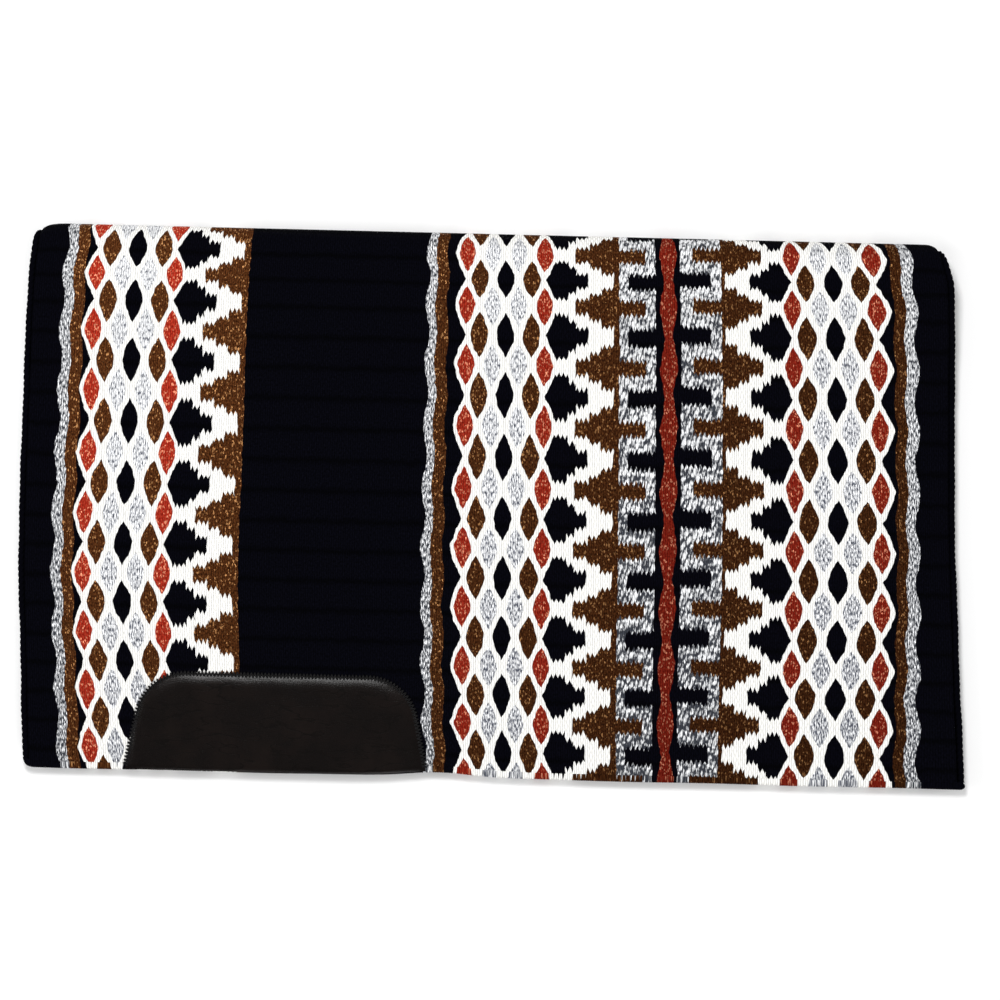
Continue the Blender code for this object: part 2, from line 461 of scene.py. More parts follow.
motif = {  # from a band's first red column, or from its last; pairs are other bands, then the rear one
    "edge": 0.8,  # where the white ground ends, and how far it swells at each row
    "swell": (10.4, 11.6),
    "roundness": 1.3,
    "brownAt": ((-23.2, -15.6), -18.6),  # in the middle band, the front one and the rear one
    "brownHalf": (5.5, 4.7),
    "silverGap": (10.2, 9.2),  # from the brown stripe's middle to the silver one's
    "silverHalf": (4.2, 5.0),
    "evenLens": (7.8, 19.2),  # half sizes
    "oddLens": (8.3, 20.5),
    "lensReach": 12.0,  # past the lattice's sides
    "redReach": 12.1,  # lenses are red this near to them
    "bodyEnd": 65.3,
    "blackEnd": 40.4,
    "blackSteps": ((40.4, 7.4), (29.4, 6.4), (22.0, 6.4)),  # each step's end, and its half height
    "brownStart": 28.5,
    "brownSteps": ((28.5, 7.4), (41.4, 5.5), (52.4, 6.4)),
    "lineStart": 63.8,
    "lineEnd": (69.2, 67.2),
    "arm": (65.0, 93.8),
    "armHalf": 6.9,
    "keyEnd": (102.8, 105.3),
    "keyHalf": 19.3,
    "keyStem": 77.3,
    "beadHalf": 3.8,
    "beadSwell": 4.3,
}

wool = {
    "black": tone(3, 3, 7),
    "brown": tone(53, 26, 10),
    "tan": tone(106, 61, 30),
    "gold": tone(196, 140, 88),
    "red": tone(150, 33, 19),
    "scarlet": tone(202, 64, 43),
    "coral": tone(244, 150, 116),
    "white": tone(252, 251, 247),
    "silver": tone(245, 246, 248),
    "shadow": tone(58, 61, 68),
    # painted shade among the silver lenses' tinsel
    "pewter": tone(84, 88, 100),
}

paintedFalloff = {  # painted shade: the wool and tinsel are drawn darker to the rear and towards the hems, and a little lighter near the spine, as the light falls off
    "from": -330.0,
    "to": 230.0,
    "hem": 500.0,  # the way over the back from the spine to a hem
    "dye": 0.88,
    "dyeRear": 0.42,
    "dyeNearSpine": 1.08,
    "dyeHem": 0.32,
}


def patternMasks(start, at, x, v):
    # the pattern's parts as masks; q and m run from a band's first and last red column
    stray = start.node("ShaderNodeSeparateXYZ", None, {0: noise(start, at, 0.11, 1.0, output=1)})
    x1 = x + (stray - 0.5) * weave["wander"][0]
    v1 = v + (stray.other(1) - 0.5) * weave["wander"][1]
    column = (x / weave["yarn"]).floor()
    loose = start.node("ShaderNodeTexWhiteNoise", {"noise_dimensions": "1D"}, {"W": column})
    zigzag = start.calc("PINGPONG", x, weave["yarn"]) / weave["yarn"]
    tooth = (zigzag - 0.5) * weave["tooth"] + (loose - 0.5) * weave["ragged"]

    isFront = start.calc("LESS_THAN", x1, weave["frontEnd"])
    isRear = start.calc("GREATER_THAN", x1, weave["centre"])
    isMiddle = (1 - isFront) & (1 - isRear)
    rows = v1 - weave["firstRow"] - isFront * weave["frontShift"] + isRear * weave["rearShift"]
    half = weave["pitch"] / 2
    toRow = toNearest(rows, weave["pitch"])
    stepped = toNearest(rows + tooth, weave["pitch"])
    span = weave["lattice"]
    mirrored = span - weave["rearSpread"] * (x1 - weave["rearBand"]).atLeast(0.0)
    mirrored = mirrored + (weave["rearBand"] - x1).atLeast(0.0)
    q = isFront.pick(x1 - weave["middleBand"], x1 - weave["frontBand"])
    q = isRear.pick(q, mirrored)
    m = q - span

    wave = 1 - (toRow / half) ** motif["roundness"]
    contour = motif["edge"] + isRear.pick(*motif["swell"]) * wave
    ripple = (rows * (2 * math.pi / weave["pitch"]) + math.pi / 2).sine()
    brownAt = isRear.pick(isFront.pick(*motif["brownAt"][0]), motif["brownAt"][1]) - 1.2 * ripple
    brownHalf = isRear.pick(*motif["brownHalf"])
    silverAt = brownAt - isRear.pick(*motif["silverGap"])
    silverLow = silverAt - motif["silverHalf"][0] - 0.9 * ripple + 1.3 * isMiddle

    def lens(toColumn, toOwnRow, wide, tall):
        share = start.calc("MINIMUM", toOwnRow / tall, 1.0)
        return toColumn.below(wide * (1 - share**1.6))

    columns = span / 3
    evenLens = lens(toNearest(q, columns), toRow, *motif["evenLens"])
    oddLens = lens(toNearest(q - columns / 2, columns), half - toRow, *motif["oddLens"])
    blackStep = sum(rise * m.below(end) for end, rise in motif["blackSteps"])
    brownStep = sum(rise * m.above(end) for end, rise in motif["brownSteps"])
    lineEnd = isRear.pick(*motif["lineEnd"])
    key = m.between(lineEnd, isRear.pick(*motif["keyEnd"])) & stepped.below(motif["keyHalf"])
    key = key | m.between(lineEnd, motif["keyStem"])
    beadHalf = motif["beadHalf"] + motif["beadSwell"] * wave.atLeast(0.0) ** 1.3
    return {
        "brownStripe": q.between(brownAt - brownHalf, brownAt + brownHalf),
        "silverStripe": q.between(silverLow, silverAt + motif["silverHalf"][1]),
        "body": (q + contour).above(0.0) & m.below(motif["bodyEnd"]),
        "evenLens": evenLens & q.between(-motif["lensReach"], span + motif["lensReach"]),
        "oddLens": oddLens & q.between(0.0, span),
        "isRed": 1 - q.between(motif["redReach"], span - motif["redReach"]),
        "isBlack": q.between(columns, 2 * columns),
        "blackMotif": m.above(contour) & m.below(motif["blackEnd"]) & (half - stepped).below(blackStep),
        "brownMotif": m.between(motif["brownStart"], motif["bodyEnd"]) & stepped.below(brownStep),
        "arm": m.between(*motif["arm"]) & stepped.below(motif["armHalf"]) & (1 - isFront),
        "line": m.between(motif["lineStart"], lineEnd),
        "key": key & (1 - isFront),
        "bead": abs(x1 - weave["centre"]).below(beadHalf),
        "rib": toNearest(v1 - weave["firstRow"] - weave["ribAt"], half).below(weave["ribHalf"], 4.0),
    }


def yarnRelief(start, x, v, fibre):
    # columns of weft, each passing over every other warp
    across = abs((x * (math.pi / weave["yarn"])).sine())
    parity = ((x / weave["yarn"]).floor() * 0.5).fraction()
    over = ((v / weave["warp"] + parity) * (2 * math.pi)).sine() * 0.5 + 0.5
    return across**0.6 * (0.45 + 0.55 * over) + fibre * 0.35


def dashNoise(start, x, v, streaks):
    # short slanting dashes of tinsel
    twist = 2 * weave["yarn"]
    slanted = x + 0.28 * v
    lane = start.node("ShaderNodeCombineXYZ", None, {0: (slanted / twist).floor() * 3.7, 1: v * 0.2})
    ridge = abs((slanted * (math.pi / twist)).sine())
    return noise(start, lane, 0.75, 1.5) + (ridge - 0.6) * 0.2 + (streaks - 0.5) * 0.9


def woolColours(start, at, x, v, fibre, rib):
    # each yarn's colour with its painted shade, and the mask of its glittering flecks
    short = stretched(start, at, (1.0, 0.6, 1.0))
    inputs = {"Vector": short, "Scale": 0.95, "Randomness": 1.0}
    flecks = start.node("ShaderNodeTexVoronoi", {"feature": "F1"}, inputs, output=1)
    fleck = start.node("ShaderNodeSeparateXYZ", None, {0: flecks})
    spark = fleck.above(0.86, 0.06)
    mottle = rising(start, noise(start, short, 0.8, 1.5), 0.36, 0.64)
    streaks = noise(start, stretched(start, at, (1.25, 0.33, 1.0)), 0.75, 1.5)
    dashes = dashNoise(start, x, v, streaks)

    # painted shade: the red and brown wool and their flecks are darkened to the rear and towards the
    # hems, and lightened a little near the spine
    hemward = abs(v) / paintedFalloff["hem"]
    rearward = rising(start, x, paintedFalloff["from"], paintedFalloff["to"])
    dye = paintedFalloff["dye"] - paintedFalloff["dyeRear"] * rearward
    dye = dye * (paintedFalloff["dyeNearSpine"] - paintedFalloff["dyeHem"] * hemward)

    brown = mottle.paint(wool["brown"], wool["tan"])
    brown = (spark & fleck.other(1).above(0.35, 0.1)).paint(brown, wool["gold"])
    red = dye.tint(mottle.paint(wool["red"], wool["scarlet"]), 0.0, 1.0)
    black = (fibre * 0.4 + mottle * 0.6).tint(wool["black"], 0.5, 2.5)
    # painted shade: the dark share of the tinsel on the lenses, stripes and key, growing towards the
    # hems and the rear
    lensShadeMask = streaks.below(0.42 + 0.08 * hemward + 0.03 * rearward, 0.2)
    striped = streaks.below(0.5 + 0.05 * hemward, 0.2)
    dashed = dashes.below(0.48 + 0.12 * hemward, 0.22)
    return {
        "spark": spark,
        "brown": dye.tint(brown, 0.0, 1.0),
        "red": spark.paint(red, dye.tint(wool["coral"], 0.35, 1.0)),
        "silver": lensShadeMask.paint(wool["silver"], wool["pewter"]),
        "stripe": striped.paint(wool["silver"], wool["shadow"]),
        "tinsel": dashed.paint(wool["silver"], wool["shadow"]),
        "white": fibre.tint(wool["white"], 0.9, 1.08),
        # painted shade: the black wool is darker along the sunk lines
        "black": rib.tint(black, 1.0, 0.45),
    }


def weaveMaterial():
    material, shader, start = newMaterial("wovenWool")
    at = start.node("ShaderNodeAttribute", {"attribute_name": "weaveAt"}, None, output=1)
    x = start.node("ShaderNodeSeparateXYZ", None, {0: at})
    v = x.other(1)
    part = patternMasks(start, at, x, v)
    fibre = noise(start, stretched(start, at, (2.2, 0.55, 1.0)), 1.0, 3.0)
    yarn = woolColours(start, at, x, v, fibre, part["rib"])
    relief = yarnRelief(start, x, v, fibre)
    brownParts = part["brownMotif"] | part["arm"] | part["line"]
    oddLens = part["oddLens"] & part["body"]

    colour = (part["brownStripe"] | brownParts).paint(yarn["black"], yarn["brown"])
    colour = part["silverStripe"].paint(colour, yarn["stripe"])
    colour = part["body"].paint(colour, yarn["white"])
    colour = part["evenLens"].paint(colour, part["isRed"].paint(yarn["silver"], yarn["red"]))
    colour = oddLens.paint(colour, part["isBlack"].paint(yarn["brown"], yarn["black"]))
    colour = part["blackMotif"].paint(colour, yarn["black"])
    colour = part["key"].paint(colour, yarn["tinsel"])
    colour = brownParts.paint(colour, yarn["brown"])
    colour = part["bead"].paint(colour, part["bead"].tint(yarn["red"], 1.0, 0.72))
    shade = start.calc("MULTIPLY", relief, 0.9, clamp=True)

    silverLens = part["evenLens"] & (1 - part["isRed"])
    isSilver = (part["silverStripe"] | part["key"] | silverLens) & (1 - part["arm"])
    lenses = (part["evenLens"] & part["body"]) | oddLens
    glitter = (part["brownStripe"] | brownParts | part["bead"] | lenses) & yarn["spark"]
    plug(
        start,
        shader,
        Base_Color=shade.tint(colour, 0.5, 1.12),
        Metallic=(isSilver * 0.3).atLeast(glitter * 0.6),
        Roughness=0.86 - 0.45 * isSilver.atLeast(glitter),
        Normal=bumpFrom(start, relief, 0.9 * mm, 0.8),
        Specular_IOR_Level=0.02,
    )
    return material


def cordMaterial():
    material, shader, start = newMaterial("edgeWool")
    at = start.node("ShaderNodeTexCoord", None, None, output=3)
    fibre = noise(start, at, 900.0, 3.0)
    cloudy = noise(start, at, 60.0, 1.0)
    plug(
        start,
        shader,
        Base_Color=(fibre * 0.7 + cloudy * 0.3).tint(wool["black"], 0.4, 1.8),
        Roughness=0.8 + 0.15 * fibre,
        Normal=bumpFrom(start, fibre, 0.5 * mm, 0.7),
        Specular_IOR_Level=0.02,
    )
    return material


hide = {
    "plain": tone(11, 7, 6),
    "worn": tone(19, 13, 11),
    # painted shade: the creases are drawn darker than the plain leather
    "crease": tone(8, 5, 4),
    "grain": 620.0,  # pebbles in a metre
}


def leatherMaterial():
    material, shader, start = newMaterial("wearLeather")
    at = start.node("ShaderNodeTexCoord", None, None, output=3)
    cells = {"Vector": at, "Scale": hide["grain"], "Randomness": 0.9}
    grain = start.node("ShaderNodeTexVoronoi", {"feature": "DISTANCE_TO_EDGE"}, cells)
    pebble = rising(start, grain, 0.0, 0.22)
    soft = noise(start, at, 34.0, 4.0, 0.6)
    fine = noise(start, at, 1400.0)
    creases = noise(start, stretched(start, at, (1.0, 3.2, 1.0)), 26.0)
    crease = abs(creases - 0.5).below(0.012, 0.03)
    worn = soft.above(0.55, 0.3)
    # painted shade: darker along the creases
    base = crease.paint(worn.paint(hide["plain"], hide["worn"]), hide["crease"])
    height = pebble * 0.5 + fine * 0.15 + soft * 0.6 - crease * 0.5
    plug(
        start,
        shader,
        Base_Color=pebble.tint(base, 0.8, 1.05),
        Roughness=0.25 - 0.05 * worn + 0.05 * fine,
        Normal=bumpFrom(start, height, 0.2 * mm, 0.3),
        Specular_IOR_Level=0.12,
        Coat_Weight=0.03 * worn,
        Coat_Roughness=0.3,
    )
    return material


def threadMaterial(name, colour):
    material, shader, start = newMaterial(name)
    at = start.node("ShaderNodeTexCoord", None, None, output=3)
    bands = {"wave_type": "BANDS", "bands_direction": "DIAGONAL"}
    ply = start.node("ShaderNodeTexWave", bands, {"Vector": at, "Scale": 900.0}, output=1)
    plug(
        start,
        shader,
        Base_Color=ply.tint(colour, 0.7, 1.4),
        Roughness=0.5 + 0.12 * ply,
        Normal=bumpFrom(start, ply, 0.08 * mm, 0.5),
        Specular_IOR_Level=0.15,
    )
    return material


materials = {
    "weave": weaveMaterial(),
    "cord": cordMaterial(),
    "leather": leatherMaterial(),
    "needle": threadMaterial("needleThread", tone(12, 11, 12)),
    "bobbin": threadMaterial("bobbinThread", tone(26, 25, 26)),
}
print("materials written")


# the leather's outline, in its own plane: x from its middle, up from the hem

patch = {
    "width": leatherBox[1][0] - leatherBox[0][0],
    "height": leatherBox[1][1] - leatherBox[0][1],
    "middle": (leatherBox[0][0] + leatherBox[1][0]) / 2,
    "lean": math.radians(11.3),
    "corner": 48 * mm,
    "reach": 5.6 * mm,  # it runs on over the hem cord
    "thick": 1.8 * mm,
    "inset": 2.2 * mm,  # the leather ends under the stitching, inside the seam's outline
    "swellRun": 12 * mm,  # it rises from its edge over this width
    "skiveRun": 0.9 * mm,
    "dimple": 6.4 * mm,  # from one pull of the seam to the next
}


def patchCentre():
    middleY = patch["height"] - patch["corner"]
    lean = patch["lean"]
    return patch["width"] / 2 - middleY * math.tan(lean) - patch["corner"] / math.cos(lean), middleY


def patchOutline(inset, reach=0.0, steps=24, footSteps=16, topSteps=40):
    # sides and top moved in by inset, from the rear foot at the hem to the front one
    centreX, centreY = patchCentre()
    lean = patch["lean"]
    turns = np.linspace(lean, math.pi / 2, steps)
    radius = patch["corner"] - inset
    arc = np.stack([centreX + radius * np.cos(turns), centreY + radius * np.sin(turns)], axis=-1)
    foot = np.array([patch["width"] / 2 - inset / math.cos(lean), -reach])
    share = np.linspace(0, 1, footSteps, endpoint=False)[:, None]
    half = np.concatenate([foot + (arc[0] - foot) * share, arc])
    share = np.linspace(0, 1, topSteps + 2)[1:-1, None]
    top = arc[-1] * (1 - share) + arc[-1] * (-1, 1) * share
    return np.concatenate([half, top, half[::-1] * (-1, 1)])


def patchInset(x, up):
    # how far a point lies inside the outline, minus outside it
    centreX, centreY = patchCentre()
    px = np.abs(x - patch["middle"])
    side = (patch["width"] / 2 - up * math.tan(patch["lean"]) - px) * math.cos(patch["lean"])
    inset = np.minimum(side, patch["height"] - up)
    inCorner = (px > centreX) & (up > centreY)
    round_ = patch["corner"] - np.hypot(px - centreX, up - centreY)
    return np.where(inCorner, np.minimum(round_, inset), inset)


# the weaving

cloth = {
    "rowStep": 1.56 * mm,
    "columns": 132,
    "rim": 8 * mm,
    "rimSteps": (0, 0.7, 1.7, 3.2, 5.2),  # closer columns at the rounded edges, in mm
    "ridge": 0.42 * mm,
    "edgeRun": 5.2 * mm,  # the edges are rounded over this width, by this much
    "edgeDrop": 1.3 * mm,
    "hemRun": 5 * mm,
    "hemDrop": 0.2 * mm,
    "bedRun": 3 * mm,
    "bedShare": {"near": 0.6, "far": 1.0},  # how much of the leather's thickness it sinks into the cloth
}


def ridgeDepth(v, x, slip):
    # low between the warps; a slow slip keeps the ridges from looking ruled
    at = v / mm + 0.9 * np.sin(x * 21 + slip) + 0.5 * np.sin(x * 53 + 2 * slip)
    hump = np.abs(np.cos(np.pi * at / weave["warp"]))
    return cloth["ridge"] * (1 - hump**0.7)


def roundedOff(share):
    # from 1 at an edge to 0 at share 1, along a quarter circle
    return (1 - np.sqrt(np.clip(share * (2 - share), 0, 1))) * (share < 1)


def weavingPiece(side):
    rows = int(round(runLength[side] / cloth["rowStep"])) + 1
    s = np.linspace(0, runLength[side], rows)
    rim = np.array(cloth["rimSteps"]) * mm
    between = np.linspace(-halfX + cloth["rim"], halfX - cloth["rim"], cloth["columns"])
    xs = np.concatenate([-halfX + rim, between, (halfX - rim)[::-1]])
    gridX, gridS = np.meshgrid(xs, s)
    coordinates = weaveCoordinates(side, gridX, gridS)
    v = coordinates[..., 1] * mm
    up = runLength[side] - gridS
    rounding = cloth["edgeDrop"] * roundedOff((halfX - np.abs(gridX)) / cloth["edgeRun"])
    rounding = rounding + cloth["hemDrop"] * roundedOff(up / cloth["hemRun"])
    drifted = gridX + drift(gridX, gridS / runLength[side])[0]
    bed = np.clip((patchInset(drifted, up) - 1.0 * mm) / cloth["bedRun"], 0, 1)
    bed = bed * bed * (3 - 2 * bed) * patch["thick"] * cloth["bedShare"][side]
    outer = placeOn(side, gridX, gridS, ridgeDepth(v, gridX, 0.4) + rounding + bed)
    inner = placeOn(side, gridX, gridS, 2 * clothHalf - ridgeDepth(v, gridX, 2.4) - rounding)
    points, faces = closedSheet(outer, inner)
    vectors = np.concatenate([coordinates.reshape(-1, 3)] * 2)
    return buildPiece(side + "Weaving", points, faces, materials["weave"], 60, vectors)


selvedge = {
    "step": 0.7 * mm,
    "sides": 14,
    "endGap": 0.5 * mm,
    "overhang": 6.2 * mm,  # past the cloth's edge, to where the rounding would close
    "endRun": 4 * mm,  # its ends are rounded over this length
    "wrap": 0.22 * mm,  # how far each yarn stands out
    "wander": 0.25 * mm,
    "slack": 0.35 * mm,
}


def hemPiece(side):
    # the weft turns round the last warps, so the pattern runs over this rounded selvedge
    low, high = padLow[0] + selvedge["endGap"], padHigh[0] - selvedge["endGap"]
    count = int((padHigh[0] - padLow[0]) / selvedge["step"])
    sides = selvedge["sides"]
    x = np.linspace(low, high, count)
    turn = np.linspace(0, 2 * np.pi, sides, endpoint=False)
    gridX, gridT = np.meshgrid(x, turn, indexing="ij")
    fromEnd = np.clip((halfX + selvedge["overhang"] - np.abs(gridX)) / selvedge["endRun"], 0.02, 1)
    wrap = selvedge["wrap"] * np.abs(np.sin(np.pi * gridX / mm / weave["yarn"]))
    wander = selvedge["wander"] * np.sin(gridX * 37 + gridT)
    radius = (cordRadius - selvedge["slack"] + wrap + wander) * np.sqrt(fromEnd * (2 - fromEnd))
    across, up = np.cos(gridT), np.sin(gridT)
    boxy = np.where(across > 0, 0.3, 1.0)  # square where it meets the cloth
    across, up = np.sign(across) * np.abs(across) ** boxy, np.sign(up) * np.abs(up) ** boxy
    s = runLength[side] + cordRadius - radius * across * np.where(across > 0, 1.5, 1.05)
    points = placeOn(side, gridX, s, clothHalf - 1.12 * radius * up).reshape(-1, 3)
    faces = list(gridFaces(count, sides, closedRound=True))
    faces = faces + [range(sides), range((count - 1) * sides, count * sides)]
    around = clothHalf + cordRadius * (1 - np.cos(gridT))
    vectors = weaveCoordinates(side, gridX, runLength[side] + around * 0.6)
    return buildPiece(side + "Hem", points, faces, materials["weave"], None, vectors.reshape(-1, 3))


# geometry node helpers

def newTree(name, inputs):
    # a geometry node tree with named inputs, as (name, socket type, value)
    tree = bpy.data.node_groups.new(name, "GeometryNodeTree")
    face = tree.interface
    face.new_socket("Geometry", in_out="INPUT", socket_type="NodeSocketGeometry")
    for label, kind, value in inputs:
        socket = face.new_socket(label, in_out="INPUT", socket_type=kind)
        if value is not None:
            socket.default_value = value
    face.new_socket("Geometry", in_out="OUTPUT", socket_type="NodeSocketGeometry")
    source, sink = tree.nodes.new("NodeGroupInput"), tree.nodes.new("NodeGroupOutput")
    wires = {s.name: Wire(tree, s) for s in source.outputs if s.name}
    return tree, wires, sink


def resampled(start, step):
    # the guide's edges as a curve with even points
    curve = start.node("GeometryNodeMeshToCurve", None, {"Mesh": start})
    return start.node("GeometryNodeResampleCurve", {"mode": "LENGTH"}, {"Curve": curve, "Length": step})


def endTree(tree, result, material, sink):
    # what every tree ends in
    whole = result.node("GeometryNodeRealizeInstances", None, {"Geometry": result})
    done = result.node("GeometryNodeSetMaterial", None, {"Geometry": whole, "Material": material})
    tree.links.new(done.socket, sink.inputs[0])


def bakedBy(tree, name, guide, values):
    # runs a tree on a guide object and keeps the result as a plain mesh piece
    modifier = guide.modifiers.new(tree.name, "NODES")
    modifier.node_group = tree
    for item in tree.interface.items_tree:
        if item.in_out == "INPUT" and item.name in values:
            modifier[item.identifier] = values[item.name]
    bpy.context.view_layer.update()
    evaluated = guide.evaluated_get(bpy.context.evaluated_depsgraph_get())
    mesh = bpy.data.meshes.new_from_object(evaluated)
    guide.modifiers.remove(modifier)
    bpy.data.objects.remove(guide)
    mesh.name = name
    return linked(name, mesh)


def polyline(name, points):
    mesh = bpy.data.meshes.new(name)
    edges = [(i, i + 1) for i in range(len(points) - 1)]
    mesh.from_pydata(points.tolist(), edges, [])
    return linked(name, mesh)


def cordTree():
    # a plied cord: a lobed section swept along the guide while it turns
    tree, given, sink = newTree(
        "pliedCord",
        [
            ("Radius", "NodeSocketFloat", 0.003),
            ("Plies", "NodeSocketFloat", 3.0),
            ("Lay", "NodeSocketFloat", 0.016),
            ("Step", "NodeSocketFloat", 0.0016),
            ("Groove", "NodeSocketFloat", 0.22),
            ("Material", "NodeSocketMaterial", None),
        ],
    )
    start = given["Geometry"]
    curve = resampled(start, given["Step"])
    along = start.node("GeometryNodeSplineParameter", None, None, output=1)
    turn = along / given["Lay"] * (2 * math.pi)
    curve = start.node("GeometryNodeSetCurveTilt", None, {"Curve": curve, "Tilt": turn})
    ring = start.node("GeometryNodeCurvePrimitiveCircle", None, {"Resolution": 18, "Radius": 1.0})
    place = start.node("GeometryNodeInputPosition")
    split = start.node("ShaderNodeSeparateXYZ", None, {0: place})
    angle = start.calc("ARCTAN2", split.other(1), split)
    lobe = abs((angle * given["Plies"] * 0.5).sine())
    reach = given["Radius"] * (1 - given["Groove"] * (1 - lobe))
    scaled = start.node("ShaderNodeVectorMath", {"operation": "SCALE"}, {0: place, "Scale": reach})
    ring = start.node("GeometryNodeSetPosition", None, {"Geometry": ring, "Position": scaled})
    sweep = {"Curve": curve, "Profile Curve": ring, "Fill Caps": True}
    swept = start.node("GeometryNodeCurveToMesh", None, sweep)
    endTree(tree, swept, given["Material"], sink)
    return tree


edgeCord = {"Plies": 3.0, "Lay": 17 * mm, "Step": 1.5 * mm, "Groove": 0.3}


def edgeCordPiece(side, end, tree):
    sign = -1 if end == "Front" else 1
    s = np.linspace(0, runLength[side] - 0.3 * mm, 260)
    wander = 0.2 * mm * np.sin(s * 61) + 0.15 * mm * np.sin(s * 143 + 1)
    points = placeOn(side, sign * (edgeX + wander), s, np.full_like(s, clothHalf))
    guide = polyline("cordGuide", points)
    values = dict(edgeCord, Radius=cordRadius, Material=materials["cord"])
    piece = bakedBy(tree, side + end + "Cord", guide, values)
    settleFaces(piece.data, 70, merge=True)
    return piece


def stitchTree():
    # one bite of thread set along the guide again and again, leaning each way in turn
    tree, given, sink = newTree(
        "stitchRow",
        [
            ("Spacing", "NodeSocketFloat", 0.0016),
            ("Lean", "NodeSocketFloat", 0.25),
            ("Unevenness", "NodeSocketFloat", 0.06),
            ("Seed", "NodeSocketInt", 3),
            ("Bite", "NodeSocketObject", None),
            ("Material", "NodeSocketMaterial", None),
        ],
    )
    start = given["Geometry"]
    curve = resampled(start, given["Spacing"])
    tangent = start.node("GeometryNodeInputTangent")
    axes = {"axis": "X", "pivot_axis": "Z"}
    facing = start.node("FunctionNodeAlignRotationToVector", axes, {"Vector": tangent})
    index = start.node("GeometryNodeInputIndex")
    side = start.calc("MODULO", index, 2.0) * 2.0 - 1.0
    swing = {2: given["Unevenness"] * -1.0, 3: given["Unevenness"], "Seed": given["Seed"]}
    stray = start.node("FunctionNodeRandomValue", {"data_type": "FLOAT"}, swing, output=1)
    lean = side * given["Lean"] + stray
    turn = start.node("ShaderNodeCombineXYZ", None, {2: lean})
    asTurn = start.node("FunctionNodeEulerToRotation", None, {0: turn})
    turned = {"Rotation": facing, "Rotate By": asTurn}
    facing = start.node("FunctionNodeRotateRotation", {"rotation_space": "LOCAL"}, turned)
    bite = start.node("GeometryNodeObjectInfo", None, {"Object": given["Bite"]}, output=4)
    row = {"Points": curve, "Instance": bite, "Rotation": facing}
    placed = start.node("GeometryNodeInstanceOnPoints", None, row)
    endTree(tree, placed, given["Material"], sink)
    return tree


def threadBite(name, half, radius, rise, sink, along):
    # one visible bite of thread: a short bowed strand with round ends that dive into the work
    steps, sides = 8, 6
    share = np.linspace(-1, 1, steps)
    height = rise - (rise + sink) * np.abs(share) ** 3
    thick = radius * np.sqrt(np.clip(1 - (np.abs(share) * 0.985) ** 6, 0, 1))
    turn = np.linspace(0, 2 * np.pi, sides, endpoint=False)
    sideways = thick[:, None] * np.cos(turn)
    upwards = height[:, None] + thick[:, None] * np.sin(turn)
    centre = np.repeat(share * half, sides).reshape(steps, sides)
    grid = (centre, sideways, upwards) if along else (sideways, centre, upwards)
    points = np.stack(grid, axis=-1).reshape(-1, 3)
    faces = list(gridFaces(steps, sides, closedRound=True))
    faces = faces + [range(sides), range((steps - 1) * sides, steps * sides)]
    mesh = plainMesh(name, points, faces)
    settleFaces(mesh)
    return bpy.data.objects.new(name, mesh)


stitching = {
    "inset": 3 * mm,  # the seam's line, inside the patch's outline
    "bite": 3.1 * mm,  # half its length across the edge
    "radius": 0.58 * mm,
    "depth": {"near": -0.35 * mm, "far": 0.75 * mm},
    "bobbinBite": 1.45 * mm,
    "bobbinRadius": 0.42 * mm,
    "bobbinDepth": 0.5 * mm,  # in from the horse side
    "zigzag": {"Spacing": 1.6 * mm, "Lean": 0.27, "Unevenness": 0.05, "Seed": 3},
    "running": {"Spacing": 3.2 * mm, "Lean": 0.0, "Unevenness": 0.07, "Seed": 8},
}


def sewnRow(side, name, outline, depth, tree, values):
    # bites set along an outline on the cloth, depth inside its outer face
    s = runLength[side] - outline[:, 1]
    points = placeOn(side, patch["middle"] + outline[:, 0], s, np.full(len(s), depth), False)
    return bakedBy(tree, side + name, polyline("seamGuide", points), values)


def stitchPiece(side, tree, bite):
    # zigzag over the leather's edge, on the outer face
    outline = patchOutline(stitching["inset"], 0.4 * cordRadius)
    values = dict(stitching["zigzag"], Bite=bite, Material=materials["needle"])
    return sewnRow(side, "EdgeStitching", outline, stitching["depth"][side], tree, values)


def bobbinPiece(side, tree, bite):
    # the same seam seen from the horse side, as a plain running line
    outline = patchOutline(stitching["inset"])
    outline = outline[outline[:, 1] > 1.5 * mm]
    values = dict(stitching["running"], Bite=bite, Material=materials["bobbin"])
    depth = 2 * clothHalf - stitching["bobbinDepth"]
    return sewnRow(side, "BobbinThread", outline, depth, tree, values)


# the leather patches

